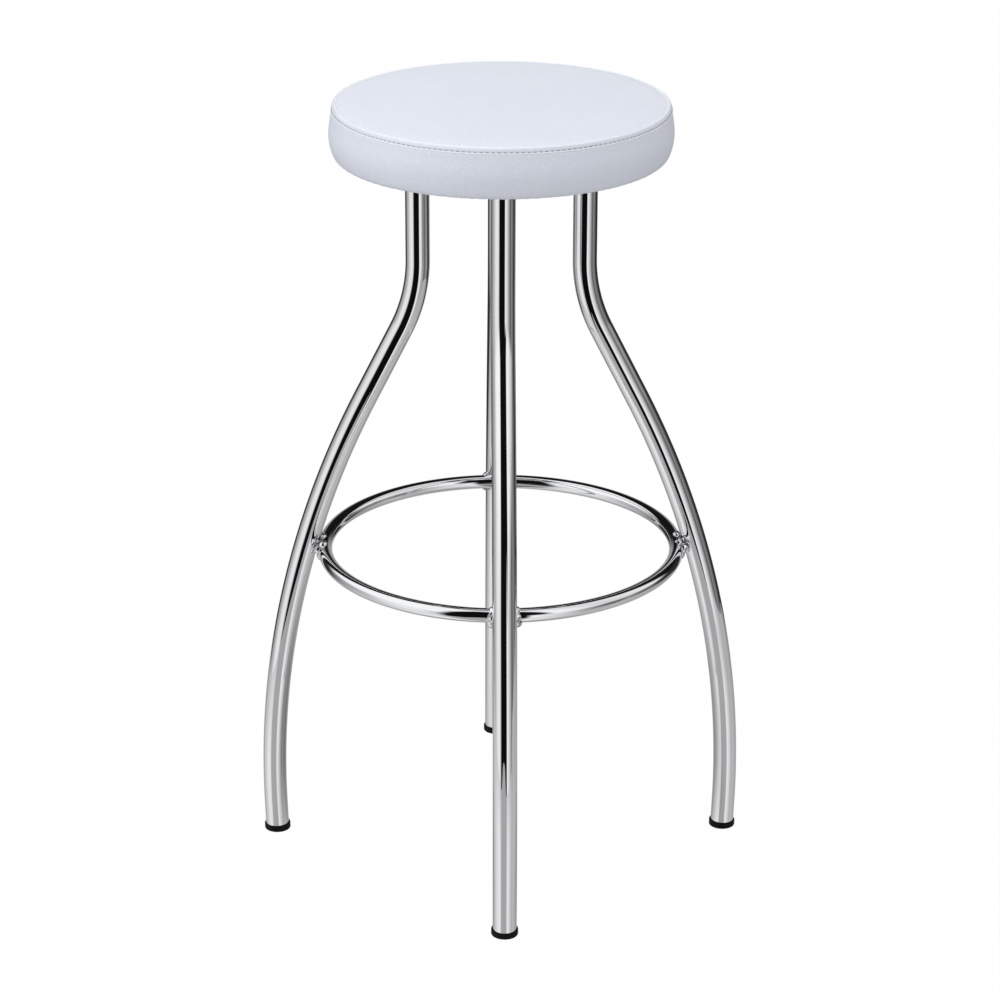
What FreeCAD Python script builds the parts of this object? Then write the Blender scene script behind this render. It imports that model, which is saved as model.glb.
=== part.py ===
import FreeCAD, Part
import math
import os

# A counter stool: four bent tube legs, a foot ring and a round padded seat that turns on a ball race.
# Millimetres, +Z up. The origin is on the floor, at the centre of the four feet.
# The front leg stands towards -Y.

Vector = FreeCAD.Vector
UP = Vector(0, 0, 1)
CENTRE = Vector(0, 0, 0)

# Overall
seat_height = 822.0          # floor to the top of the crown
leg_count = 4

# Seat pad
seat_radius = 175.0          # widest part of the side
seam_radius = 170.3          # ridge where the top panel folds over the side
side_height = 52.8           # underside of the pad to the seam
crown_height = 5.2           # seam to the middle of the top
shoulder_width = 22.0        # outer part of the top that falls to the seam
shoulder_drop = 2.5
widest_height = 28.0         # underside of the pad to the widest part of the side
side_bulge_radius = 57.0
bottom_round = 9.0
cover_thickness = 1.0
lap_width = 5.4              # top panel turned down over the side band
seam_edge = 0.9              # rounding of the fold
fold_sag = 0.25              # share of that rounding already dropped at its middle
band_tuck = 1.4              # how far the side band stays below the fold
hem_radius = 141.0           # inner edge of the side band under the board
foam_gap = 0.15

# Seat board and what is stapled under it
board_radius = 161.0
board_thickness = 12.0
board_edge = 2.0
board_hole_radius = 25.0
dust_cover_radius = 156.0
dust_cover_thickness = 0.5
dust_cover_step = 2.6        # width of the slope from the board down over the hem
hem_clearance = 0.4
staple_count = 24
staple_radius = 150.0
staple_crown = 10.0
staple_wire = 0.6
staple_width = 1.0
staple_bite = 6.0            # depth of the legs in the board

# Swivel
plate_side = 152.0
plate_corner = 12.0
plate_thickness = 3.0
ball_radius = 4.0
ball_count = 20
ball_circle_radius = 50.0
groove_depth = 1.2
ball_clearance = 0.15
cage_inner_radius = 43.0
cage_outer_radius = 57.0
cage_thickness = 4.0
cage_lift = 0.3
cage_pocket_clearance = 0.2
pin_radius = 12.45
pin_running_clearance = 0.05
pin_flange_radius = 20.0
pin_flange_thickness = 3.0
pin_thread_radius = 8.0
pin_lift = 0.2               # washer above the top plate
pin_washer_radius = 20.0
pin_washer_thickness = 1.5
pin_nut_flats = 24.0
pin_nut_height = 8.0
pin_thread_end = 1.0

# M6 fasteners
screw_radius = 3.0
screw_hole_radius = 3.3
thread_clearance = 0.05
head_radius = 5.25
head_height = 3.3
head_dome = 1.6
socket_flats = 4.0
socket_depth = 2.0
seat_screw_square = 102.0    # hole to hole on the top plate
frame_screw_square = 127.0   # hole to hole on the bottom plate
washer_radius = 6.0
washer_thickness = 1.6
nut_flats = 10.0
nut_hex_height = 4.4
nut_collar_radius = 4.2
nut_collar_height = 1.6
screw_end = 1.4              # thread that stands past the nut
tee_flange_radius = 9.5
tee_flange_thickness = 1.2
tee_flange_recess = 0.2
tee_barrel_radius = 3.9
tee_barrel_length = 9.0
tee_hole_clearance = 0.1
tee_screw_end = 2.0          # screw tip below the top of the tee nut

# Frame
leg_radius = 12.5
leg_wall = 1.5
neck_radius = 86.0           # axis of the stool to the axis of a leg's upright top
neck_length = 97.0           # upright top of each leg
upper_bend_radius = 168.0
lean_length = 83.0           # straight run between the two bends
foot_radius = 244.0          # axis of the stool to the middle of a foot
foot_splay = 1.86            # degrees from upright at the foot
foot_straight = 32.0         # floor to the start of the long bend
frame_plate_thickness = 4.0
frame_plate_margin = 5.0
frame_plate_hole_radius = 30.0
top_weld = 4.0

# Foot ring
ring_height = 333.0
ring_tube_radius = 7.5
ring_tube_wall = 1.2
ring_gap = 0.2               # ring to leg, filled by the weld
ring_root_gap = 1.0          # ends of the ring's tube, filled by the butt weld
bead_radius = 5.0
bead_reach = 8.3             # ring's tube axis to the middle of a bead
bead_side = 10.6             # leg's mid-plane to the middle of a bead
bead_spread = 50.0           # degrees round the ring's tube from bead to bead

# Foot caps
cap_radius = 14.0
cap_height = 7.0
cap_edge = 1.2
spigot_length = 18.0
spigot_core_radius = 9.8
spigot_clearance = 0.1
rib_count = 3
rib_thickness = 2.0

# Heights, from the seat down
seam_z = seat_height - crown_height
pad_bottom = seam_z - side_height
board_bottom = pad_bottom + cover_thickness
board_top = board_bottom + board_thickness
top_plate_top = board_bottom - dust_cover_thickness
top_plate_bottom = top_plate_top - plate_thickness
ball_z = top_plate_bottom + groove_depth - ball_radius - ball_clearance
bottom_plate_top = ball_z - (top_plate_bottom - ball_z)
bottom_plate_bottom = bottom_plate_top - plate_thickness
frame_plate_bottom = bottom_plate_bottom - frame_plate_thickness
neck_z = frame_plate_bottom - neck_length
frame_plate_radius = neck_radius + leg_radius + frame_plate_margin
leg_bore_radius = leg_radius - leg_wall


def rz(radius, height):
    """A point of a turned outline: distance from the stool's axis, and height."""
    return Vector(radius, 0, height)


def outline(start, *steps):
    """A closed face in the XZ plane. A step is a point for a line, or (middle, end) for an arc."""
    edges = []
    here = start
    for step in steps + (start,):
        if isinstance(step, tuple):
            edges.append(Part.Arc(here, step[0], step[1]).toShape())
            here = step[1]
        elif (step - here).Length > 1e-7:
            edges.append(Part.LineSegment(here, step).toShape())
            here = step
    return Part.Face(Part.Wire(edges))


def turned(face):
    """The face turned once round the stool's axis."""
    return face.revolve(CENTRE, UP, 360)


def on_circle(centre, radius, degrees):
    """The point at an angle on a circle in the XZ plane."""
    angle = math.radians(degrees)
    return centre + Vector(radius * math.cos(angle), 0, radius * math.sin(angle))


def arc_step(centre, radius, start_degrees, end_degrees):
    """The (middle, end) of an arc in the XZ plane."""
    middle = on_circle(centre, radius, (start_degrees + end_degrees) / 2)
    return middle, on_circle(centre, radius, end_degrees)


def edges_at(shape, height):
    """The edges of a shape that lie level at a height."""
    return [e for e in shape.Edges if abs(e.CenterOfMass.z - height) < 0.01]


def around(shape, degrees):
    """A copy of the shape, turned about the stool's axis."""
    copy = shape.copy()
    copy.rotate(CENTRE, UP, degrees)
    return copy


def ring_solid(outer, inner, bottom, height, at=CENTRE):
    """An upright washer shape."""
    base = Vector(at.x, at.y, bottom)
    return Part.makeCylinder(outer, height, base).cut(Part.makeCylinder(inner, height, base))


def hexagon(flats, bottom, height, at=CENTRE):
    """An upright hexagonal prism."""
    corner = flats / 2 / math.cos(math.radians(30))
    points = []
    for k in range(7):
        angle = math.radians(60 * k)
        points.append(Vector(at.x + corner * math.cos(angle), at.y + corner * math.sin(angle), bottom))
    return Part.Face(Part.makePolygon(points)).extrude(UP * height)


def square_places(side):
    """The four corners of a square about the stool's axis."""
    half = side / 2
    return [Vector(x, y, 0) for x in (-half, half) for y in (-half, half)]


# Seat

def bulge_centre():
    return rz(seat_radius - side_bulge_radius, pad_bottom + widest_height)


def bottom_round_centre():
    """Centre of the rounding that touches the underside and the bulged side."""
    bulge = bulge_centre()
    height = pad_bottom + bottom_round
    reach = side_bulge_radius - bottom_round
    return rz(bulge.x + math.sqrt(reach ** 2 - (bulge.z - height) ** 2), height)


def side_angle_at(height, inset):
    """Angle on the bulged side, set in by an inset, at a height."""
    return math.degrees(math.asin((height - bulge_centre().z) / (side_bulge_radius - inset)))


def side_join_angle():
    """Angle at which the side passes into the bottom rounding."""
    bulge = bulge_centre()
    low = bottom_round_centre()
    return math.degrees(math.atan2(low.z - bulge.z, low.x - bulge.x))


def crown_steps(inset, edge):
    """Steps of the top from the middle out to an edge point: a crown, then a shoulder."""
    top = rz(0, seat_height - inset)
    shoulder = rz(seam_radius - shoulder_width, seam_z + shoulder_drop - inset)
    drop = top.z - shoulder.z
    crown_radius = (shoulder.x ** 2 + drop ** 2) / (2 * drop)
    halfway = shoulder.x / 2
    crown_middle = rz(halfway, top.z - crown_radius + math.sqrt(crown_radius ** 2 - halfway ** 2))
    crown_slope = math.asin(shoulder.x / crown_radius)
    chord = edge - shoulder
    turn = math.atan2(-chord.z, chord.x) - crown_slope
    rise = chord.Length / 2 * math.tan(turn / 2)
    normal = Vector(-chord.z, 0, chord.x).normalize()
    shoulder_middle = shoulder + chord * 0.5 + normal * rise
    return top, [(crown_middle, shoulder), (shoulder_middle, edge)]


lap_z = seam_z - lap_width
lap_inner = on_circle(bulge_centre(), side_bulge_radius, side_angle_at(lap_z, 0))
lap_outer = lap_inner + Vector(cover_thickness, 0, 0)
fold = rz(seam_radius, seam_z)
fold_outer = fold + Vector(seam_edge, 0, -seam_edge)
fold_inner = fold_outer - Vector(cover_thickness, 0, 0)


def make_top_panel():
    """The round top of the cover, turned down over the side band and stitched there."""
    top, outer = crown_steps(0, fold)
    low, inner = crown_steps(cover_thickness, fold_inner)
    fold_middle = fold + Vector(seam_edge * (1 - fold_sag), 0, -seam_edge * fold_sag)
    back = [(inner[1][0], inner[0][1]), (inner[0][0], low)]
    steps = outer + [(fold_middle, fold_outer), lap_outer, lap_inner, fold_inner] + back
    return turned(outline(top, *steps))


def make_side_band():
    """The side of the cover: under the lap, out over the bulge, and tucked under the board."""
    lap_top = lap_inner + (fold_inner - lap_inner) * (1 - band_tuck / lap_width)
    bulge = bulge_centre()
    low = bottom_round_centre()
    join = side_join_angle()
    inner_lap = lap_inner - Vector(cover_thickness, 0, 0)
    steps = [
        lap_inner,
        arc_step(bulge, side_bulge_radius, side_angle_at(lap_z, 0), join),
        arc_step(low, bottom_round, join, -90),
        rz(hem_radius, pad_bottom),
        rz(hem_radius, board_bottom),
        rz(low.x, board_bottom),
        arc_step(low, bottom_round - cover_thickness, -90, join),
    ]
    inner_radius = side_bulge_radius - cover_thickness
    inner_end = side_angle_at(lap_z, cover_thickness)
    steps.append(arc_step(bulge, inner_radius, join, inner_end))
    steps.append(inner_lap)
    steps.append(lap_top - Vector(cover_thickness, 0, 0))
    band = turned(outline(lap_top, *steps))
    return band.cut(staples())


def make_foam():
    """The pad inside the cover: a crowned top on the board and a skirt round its edge."""
    inset = cover_thickness + foam_gap
    bulge = bulge_centre()
    low = bottom_round_centre()
    join = side_join_angle()
    edge = fold_inner + Vector(-inset, 0, -inset)
    top, crown = crown_steps(inset, edge)
    shelf = board_radius + foam_gap
    skirt_bottom = board_bottom + foam_gap
    steps = crown + [
        on_circle(bulge, side_bulge_radius - inset, side_angle_at(lap_z, inset)),
        arc_step(bulge, side_bulge_radius - inset, side_angle_at(lap_z, inset), join),
        arc_step(low, bottom_round - inset, join, -90),
        rz(shelf, skirt_bottom),
        rz(shelf, board_top),
        rz(0, board_top),
    ]
    return turned(outline(top, *steps))


def make_seat_board():
    """The plywood disc, with holes for the tee nuts, the pin's nut and the staples."""
    disc = Part.makeCylinder(board_radius, board_thickness, Vector(0, 0, board_bottom))
    disc = disc.makeFillet(board_edge, edges_at(disc, board_bottom))
    tools = [Part.makeCylinder(board_hole_radius, board_thickness, Vector(0, 0, board_bottom))]
    recess = tee_flange_thickness + tee_flange_recess
    for place in square_places(seat_screw_square):
        hole = Vector(place.x, place.y, board_bottom)
        tools.append(Part.makeCylinder(tee_barrel_radius + tee_hole_clearance, board_thickness, hole))
        seat = Vector(place.x, place.y, board_top - recess)
        tools.append(Part.makeCylinder(tee_flange_radius + tee_hole_clearance, recess, seat))
    tools.append(staples())
    return disc.cut(tools)


def make_dust_cover():
    """The thin black cloth under the board, stepped down over the hem."""
    step_outer = hem_radius - hem_clearance
    step_inner = step_outer - dust_cover_step
    low = board_bottom - cover_thickness
    thick = dust_cover_thickness
    cloth = turned(outline(
        rz(board_hole_radius, board_bottom),
        rz(step_inner, board_bottom),
        rz(step_outer, low),
        rz(dust_cover_radius, low),
        rz(dust_cover_radius, low - thick),
        rz(step_outer, low - thick),
        rz(step_inner, board_bottom - thick),
        rz(board_hole_radius, board_bottom - thick),
    ))
    tools = [staples()]
    for place in square_places(seat_screw_square):
        base = Vector(place.x, place.y, board_bottom - thick)
        tools.append(Part.makeCylinder(screw_hole_radius, thick, base))
    return cloth.cut(tools)


def staple():
    """One staple, its crown along Y, at its distance from the axis on +X."""
    top = board_bottom - cover_thickness - dust_cover_thickness
    near = staple_radius - staple_width / 2
    crown = Part.makeBox(staple_width, staple_crown, staple_wire,
                         Vector(near, -staple_crown / 2, top - staple_wire))
    leg_length = dust_cover_thickness + cover_thickness + staple_bite
    solid = crown
    for y in (-staple_crown / 2, staple_crown / 2 - staple_wire):
        leg = Part.makeBox(staple_width, staple_wire, leg_length, Vector(near, y, top))
        solid = solid.fuse(leg)
    return solid.removeSplitter()


def staples():
    one = staple()
    return Part.makeCompound([around(one, 360 / staple_count * (k + 0.5)) for k in range(staple_count)])


def make_tee_nuts():
    """The threaded inserts let into the top of the board."""
    flange_top = board_top - tee_flange_recess
    barrel_bottom = flange_top - tee_flange_thickness - tee_barrel_length
    nuts = []
    for place in square_places(seat_screw_square):
        flange_base = Vector(place.x, place.y, flange_top - tee_flange_thickness)
        flange = Part.makeCylinder(tee_flange_radius, tee_flange_thickness, flange_base)
        barrel_base = Vector(place.x, place.y, barrel_bottom)
        barrel = Part.makeCylinder(tee_barrel_radius, tee_barrel_length, barrel_base)
        bore = Part.makeCylinder(screw_radius + thread_clearance,
                                 tee_barrel_length + tee_flange_thickness, barrel_base)
        nuts.append(flange.fuse(barrel).removeSplitter().cut(bore))
    return Part.makeCompound(nuts)


def screw(place, head_z, length, points_up):
    """A button-head socket screw: its head's flat side is at head_z."""
    head = Part.makeCylinder(head_radius, head_height)
    head = head.makeFillet(head_dome, edges_at(head, head_height))
    shank = Part.makeCylinder(screw_radius, length, Vector(0, 0, -length))
    socket = hexagon(socket_flats, head_height - socket_depth, socket_depth)
    solid = head.fuse(shank).removeSplitter().cut(socket)
    if points_up:
        solid.rotate(CENTRE, Vector(1, 0, 0), 180)
    solid.translate(Vector(place.x, place.y, head_z))
    return solid


def make_seat_screws():
    """Screws up through the top plate into the tee nuts."""
    tip = board_top - tee_flange_recess - tee_screw_end
    length = tip - top_plate_bottom
    places = square_places(seat_screw_square)
    return Part.makeCompound([screw(p, top_plate_bottom, length, True) for p in places])


# Swivel

def square_plate(bottom):
    """A square plate with round corners, before its holes."""
    half = plate_side / 2
    box = Part.makeBox(plate_side, plate_side, plate_thickness, Vector(-half, -half, bottom))
    corners = [e for e in box.Edges if abs(e.Vertexes[0].Z - e.Vertexes[-1].Z) > 0.1]
    return box.makeFillet(plate_corner, corners)


def race():
    """The ring that both plates' grooves are cut with."""
    return Part.makeTorus(ball_circle_radius, ball_radius + ball_clearance, Vector(0, 0, ball_z))


def screw_holes(side, bottom, height):
    places = square_places(side)
    return [Part.makeCylinder(screw_hole_radius, height, Vector(p.x, p.y, bottom)) for p in places]


def make_top_plate():
    bore = Part.makeCylinder(pin_radius + pin_running_clearance, plate_thickness,
                             Vector(0, 0, top_plate_bottom))
    holes = screw_holes(seat_screw_square, top_plate_bottom, plate_thickness)
    return square_plate(top_plate_bottom).cut([bore, race()] + holes)


def make_bottom_plate():
    bore = Part.makeCylinder(pin_radius, plate_thickness, Vector(0, 0, bottom_plate_bottom))
    holes = screw_holes(frame_screw_square, bottom_plate_bottom, plate_thickness)
    return square_plate(bottom_plate_bottom).cut([bore, race()] + holes)


def ball_places():
    places = []
    for k in range(ball_count):
        angle = 2 * math.pi * k / ball_count
        places.append(Vector(ball_circle_radius * math.cos(angle),
                             ball_circle_radius * math.sin(angle), ball_z))
    return places


def make_balls():
    return Part.makeCompound([Part.makeSphere(ball_radius, p) for p in ball_places()])


def make_ball_cage():
    """The flat ring that keeps the balls apart."""
    bottom = bottom_plate_top + cage_lift
    body = ring_solid(cage_outer_radius, cage_inner_radius, bottom, cage_thickness)
    pockets = []
    for place in ball_places():
        base = Vector(place.x, place.y, bottom)
        pockets.append(Part.makeCylinder(ball_radius + cage_pocket_clearance, cage_thickness, base))
    return body.cut(pockets)


shoulder_z = top_plate_top + pin_lift


def make_kingpin():
    """The flanged pin that holds the two plates together and guides the top one."""
    thread_top = shoulder_z + pin_washer_thickness + pin_nut_height + pin_thread_end
    return turned(outline(
        rz(0, bottom_plate_bottom - pin_flange_thickness),
        rz(pin_flange_radius, bottom_plate_bottom - pin_flange_thickness),
        rz(pin_flange_radius, bottom_plate_bottom),
        rz(pin_radius, bottom_plate_bottom),
        rz(pin_radius, shoulder_z),
        rz(pin_thread_radius, shoulder_z),
        rz(pin_thread_radius, thread_top),
        rz(0, thread_top),
    ))


def make_kingpin_washer():
    return ring_solid(pin_washer_radius, pin_thread_radius + thread_clearance,
                      shoulder_z, pin_washer_thickness)


def make_kingpin_locknut():
    bottom = shoulder_z + pin_washer_thickness
    bore = Part.makeCylinder(pin_thread_radius + thread_clearance, pin_nut_height, Vector(0, 0, bottom))
    return hexagon(pin_nut_flats, bottom, pin_nut_height).cut(bore)


# Frame

def make_frame_plate():
    """The round plate that the legs are welded to and the swivel is bolted on."""
    base = Vector(0, 0, frame_plate_bottom)
    disc = ring_solid(frame_plate_radius, frame_plate_hole_radius, base.z, frame_plate_thickness)
    return disc.cut(screw_holes(frame_screw_square, base.z, frame_plate_thickness))


def make_frame_screws():
    """Screws down through the bottom plate and the frame plate."""
    grip = plate_thickness + frame_plate_thickness + washer_thickness
    length = grip + nut_hex_height + nut_collar_height + screw_end
    places = square_places(frame_screw_square)
    return Part.makeCompound([screw(p, bottom_plate_top, length, False) for p in places])


def make_frame_washers():
    bottom = frame_plate_bottom - washer_thickness
    places = square_places(frame_screw_square)
    return Part.makeCompound([
        ring_solid(washer_radius, screw_hole_radius, bottom, washer_thickness, p) for p in places])


def make_frame_locknuts():
    """Nuts with a round collar at the lower end."""
    top = frame_plate_bottom - washer_thickness
    nuts = []
    for place in square_places(frame_screw_square):
        hexed = hexagon(nut_flats, top - nut_hex_height, nut_hex_height, place)
        bottom = top - nut_hex_height - nut_collar_height
        base = Vector(place.x, place.y, bottom)
        collar = Part.makeCylinder(nut_collar_radius, nut_collar_height, base)
        bore = Part.makeCylinder(screw_radius + thread_clearance, top - bottom, base)
        nuts.append(hexed.fuse(collar).cut(bore))
    return Part.makeCompound(nuts)


def long_bend_for(lean):
    """Radius of the long bend that reaches the neck sideways, at a lean in radians."""
    splay = math.radians(foot_splay)
    start = foot_radius + foot_straight * math.sin(splay)
    inward = start - neck_radius - upper_bend_radius * (1 - math.cos(lean)) - lean_length * math.sin(lean)
    return inward / (math.cos(splay) - math.cos(lean))


def height_left_over(lean):
    """How far the bends and the straight run end below the neck, at a lean in radians."""
    splay = math.radians(foot_splay)
    rise = foot_straight * math.cos(splay)
    rise += long_bend_for(lean) * (math.sin(splay) + math.sin(lean))
    rise += lean_length * math.cos(lean) + upper_bend_radius * math.sin(lean)
    return neck_z - rise


def solve_lean():
    """The lean of the straight run that brings a leg to the height of its neck."""
    least_past_splay, steepest, halvings = 5, 75, 60
    low = math.radians(foot_splay) + math.radians(least_past_splay)
    high = math.radians(steepest)
    for _ in range(halvings):
        middle = (low + high) / 2
        if height_left_over(middle) < 0:
            low = middle
        else:
            high = middle
    return (low + high) / 2


leg_lean = solve_lean()
long_bend_radius = long_bend_for(leg_lean)
foot_axis = Vector(math.sin(math.radians(foot_splay)), 0, math.cos(math.radians(foot_splay)))
foot_point = rz(foot_radius, 0)
tube_end = foot_point + foot_axis * cap_height
bend_start = foot_point + foot_axis * foot_straight
bend_centre = bend_start + Vector(-foot_axis.z, 0, foot_axis.x) * long_bend_radius
bend_end = on_circle(bend_centre, long_bend_radius, math.degrees(leg_lean))
lean_end = bend_end + Vector(-math.sin(leg_lean), 0, math.cos(leg_lean)) * lean_length
neck_start = rz(neck_radius, neck_z)
upper_bend_centre = rz(neck_radius + upper_bend_radius, neck_z)


def disc_at(point, direction, radius):
    return Part.Face(Part.Wire(Part.makeCircle(radius, point, direction)))


def leg_rod(radius):
    """A solid rod of some radius along one leg's centre line, towards +X."""
    across = Vector(0, 1, 0)
    lean_axis = Vector(-math.sin(leg_lean), 0, math.cos(leg_lean))
    foot = disc_at(tube_end, foot_axis, radius).extrude(bend_start - tube_end)
    long_turn = math.degrees(leg_lean) + foot_splay
    long_bend = disc_at(bend_start, foot_axis, radius).revolve(bend_centre, across, -long_turn)
    lean = disc_at(bend_end, lean_axis, radius).extrude(lean_end - bend_end)
    upper_turn = math.degrees(leg_lean)
    upper_bend = disc_at(lean_end, lean_axis, radius).revolve(upper_bend_centre, across, upper_turn)
    neck = disc_at(neck_start, UP, radius).extrude(UP * neck_length)
    return foot.fuse([long_bend, lean, upper_bend, neck]).removeSplitter()


def make_leg():
    return leg_rod(leg_radius).cut(leg_rod(leg_bore_radius))


def make_top_weld():
    """The fillet weld round a leg, under the frame plate."""
    bead = outline(
        Vector(leg_radius, 0, frame_plate_bottom),
        Vector(leg_radius + top_weld, 0, frame_plate_bottom),
        Vector(leg_radius, 0, frame_plate_bottom - top_weld),
    )
    solid = bead.revolve(CENTRE, UP, 360)
    solid.translate(Vector(neck_radius, 0, 0))
    return solid


# Foot ring

def ring_contact():
    """Where the ring's tube passes a leg: the tube's axis, and the direction to the leg's axis."""
    apart = leg_radius + ring_tube_radius + ring_gap
    bend_low = bend_centre.z - (long_bend_radius - apart) * math.sin(math.radians(foot_splay))
    bend_high = bend_centre.z + (long_bend_radius - apart) * math.sin(leg_lean)
    if ring_height > bend_high:
        inward = Vector(-math.cos(leg_lean), 0, -math.sin(leg_lean))
        along = Vector(-math.sin(leg_lean), 0, math.cos(leg_lean))
        start = bend_end + inward * apart
        middle = start + along * ((ring_height - start.z) / along.z)
        return middle, inward * -1
    if ring_height < bend_low:
        inward = Vector(-foot_axis.z, 0, foot_axis.x)
        start = foot_point + inward * apart
        middle = start + foot_axis * ((ring_height - start.z) / foot_axis.z)
        return middle, inward * -1
    rise = ring_height - bend_centre.z
    reach = long_bend_radius - apart
    middle = rz(bend_centre.x + math.sqrt(reach ** 2 - rise ** 2), ring_height)
    return middle, (middle - bend_centre).normalize()


ring_axis_point, ring_outward = ring_contact()
ring_radius = ring_axis_point.x


def make_foot_ring():
    """The bent tube, its two ends facing each other behind the back leg."""
    outer = disc_at(ring_axis_point, Vector(0, 1, 0), ring_tube_radius)
    inner = disc_at(ring_axis_point, Vector(0, 1, 0), ring_tube_radius - ring_tube_wall)
    gap = math.degrees(ring_root_gap / ring_radius)
    tube = outer.cut(inner).revolve(CENTRE, UP, 360 - gap)
    return around(tube, 90 + gap / 2)


def make_ring_butt_weld():
    """The weld between the ring's two ends, ground flush."""
    outer = disc_at(ring_axis_point, Vector(0, 1, 0), ring_tube_radius)
    inner = disc_at(ring_axis_point, Vector(0, 1, 0), ring_tube_radius - ring_tube_wall)
    gap = math.degrees(ring_root_gap / ring_radius)
    weld = outer.cut(inner).revolve(CENTRE, UP, gap)
    return around(weld, 90 - gap / 2)


def make_ring_weld():
    """Two lumpy beads that join the ring to one leg, one on each side of it."""
    ring = Part.makeTorus(ring_radius, ring_tube_radius, Vector(0, 0, ring_height))
    leg = leg_rod(leg_radius)
    upward = Vector(-ring_outward.z, 0, ring_outward.x)
    beads = []
    for side in (-1, 1):
        lumps = []
        for k in (-1, 0, 1):
            angle = math.radians(bead_spread * k)
            offset = ring_outward * math.cos(angle) + upward * math.sin(angle)
            middle = ring_axis_point + offset * bead_reach + Vector(0, side * bead_side, 0)
            lumps.append(Part.makeSphere(bead_radius, middle))
        bead = lumps[0].fuse(lumps[1:]).removeSplitter().cut([ring, leg])
        beads.append(max(bead.Solids, key=lambda solid: solid.Volume))
    return Part.makeCompound(beads)


# Foot caps

def make_foot_cap():
    """A round foot with a ribbed plug up the leg's bore, cut flat on the floor."""
    flange = Part.makeCylinder(cap_radius, 2 * cap_height, Vector(0, 0, -cap_height))
    flange = flange.makeFillet(cap_edge, edges_at(flange, cap_height))
    plug = Part.makeCylinder(spigot_core_radius, spigot_length, Vector(0, 0, cap_height))
    pitch = (spigot_length - rib_thickness) / rib_count
    ribs = []
    for k in range(rib_count):
        base = Vector(0, 0, cap_height + pitch * (k + 1))
        rib = Part.makeCylinder(leg_bore_radius - spigot_clearance, rib_thickness, base)
        ribs.append(rib)
    cap = flange.fuse([plug] + ribs).removeSplitter()
    cap.rotate(CENTRE, Vector(0, 1, 0), foot_splay)
    cap.translate(foot_point)
    side = 4 * cap_radius
    below_floor = Part.makeBox(side, side, side, foot_point + Vector(-side / 2, -side / 2, -side))
    cap = cap.cut(below_floor)
    sole = [e for e in cap.Edges if abs(e.BoundBox.ZMax) < 0.01]
    return cap.makeFillet(cap_edge, sole)


def leg_places():
    """Name and angle about the stool's axis of each leg, front leg first."""
    names = ("front", "right", "back", "left")
    return [(names[k], 360 / leg_count * k - 90) for k in range(leg_count)]


def build():
    nodes = {
        "seat_top_panel": make_top_panel(),
        "seat_side_band": make_side_band(),
        "seat_foam": make_foam(),
        "seat_board": make_seat_board(),
        "seat_dust_cover": make_dust_cover(),
        "cover_staples": staples(),
        "tee_nuts": make_tee_nuts(),
        "seat_screws": make_seat_screws(),
        "swivel_top_plate": make_top_plate(),
        "ball_cage": make_ball_cage(),
        "swivel_balls": make_balls(),
        "swivel_bottom_plate": make_bottom_plate(),
        "swivel_kingpin": make_kingpin(),
        "kingpin_washer": make_kingpin_washer(),
        "kingpin_locknut": make_kingpin_locknut(),
        "frame_plate": make_frame_plate(),
        "frame_screws": make_frame_screws(),
        "frame_washers": make_frame_washers(),
        "frame_locknuts": make_frame_locknuts(),
        "foot_ring": make_foot_ring(),
        "ring_butt_weld": make_ring_butt_weld(),
    }
    leg = make_leg()
    weld = make_ring_weld()
    cap = make_foot_cap()
    top_welds = []
    for name, angle in leg_places():
        nodes["leg_" + name] = around(leg, angle)
        nodes["ring_weld_" + name] = around(weld, angle)
        nodes["foot_cap_" + name] = around(cap, angle)
        top_welds.append(around(make_top_weld(), angle))
    nodes["leg_top_welds"] = Part.makeCompound(top_welds)
    return nodes


def report(nodes):
    print("lean of the legs %.2f degrees, long bend radius %.1f" % (math.degrees(leg_lean), long_bend_radius))
    print("ring radius %.2f, frame plate bottom %.2f" % (ring_radius, frame_plate_bottom))
    for name in sorted(nodes):
        shape = nodes[name]
        state = "ok" if shape.isValid() else "INVALID"
        print("%-20s %2d solids %10.1f mm3 %s" % (name, len(shape.Solids), shape.Volume, state))


os.makedirs("parts", exist_ok=True)
all_nodes = build()
report(all_nodes)
for node_name, node_shape in all_nodes.items():
    node_shape.exportStep(os.path.join("parts", node_name + ".step"))
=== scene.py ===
import math
import random

import bpy
from mathutils import Matrix, Vector


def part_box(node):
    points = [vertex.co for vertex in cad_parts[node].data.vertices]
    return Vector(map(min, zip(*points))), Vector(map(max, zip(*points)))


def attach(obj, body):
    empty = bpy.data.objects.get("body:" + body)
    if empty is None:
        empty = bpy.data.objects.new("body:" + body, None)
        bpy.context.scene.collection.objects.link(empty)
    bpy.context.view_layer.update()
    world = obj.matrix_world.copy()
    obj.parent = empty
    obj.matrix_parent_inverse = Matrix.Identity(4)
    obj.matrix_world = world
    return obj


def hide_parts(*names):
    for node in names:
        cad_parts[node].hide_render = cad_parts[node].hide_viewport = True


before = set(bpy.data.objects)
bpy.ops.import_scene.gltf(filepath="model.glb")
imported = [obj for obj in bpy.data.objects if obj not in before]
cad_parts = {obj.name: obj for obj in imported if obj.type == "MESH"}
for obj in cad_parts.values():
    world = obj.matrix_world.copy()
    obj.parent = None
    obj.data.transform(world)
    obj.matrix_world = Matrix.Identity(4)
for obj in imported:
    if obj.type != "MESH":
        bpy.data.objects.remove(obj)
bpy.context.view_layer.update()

# A chrome counter stool with a round padded seat. Metres, +Z up, the front leg towards -Y.

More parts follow.
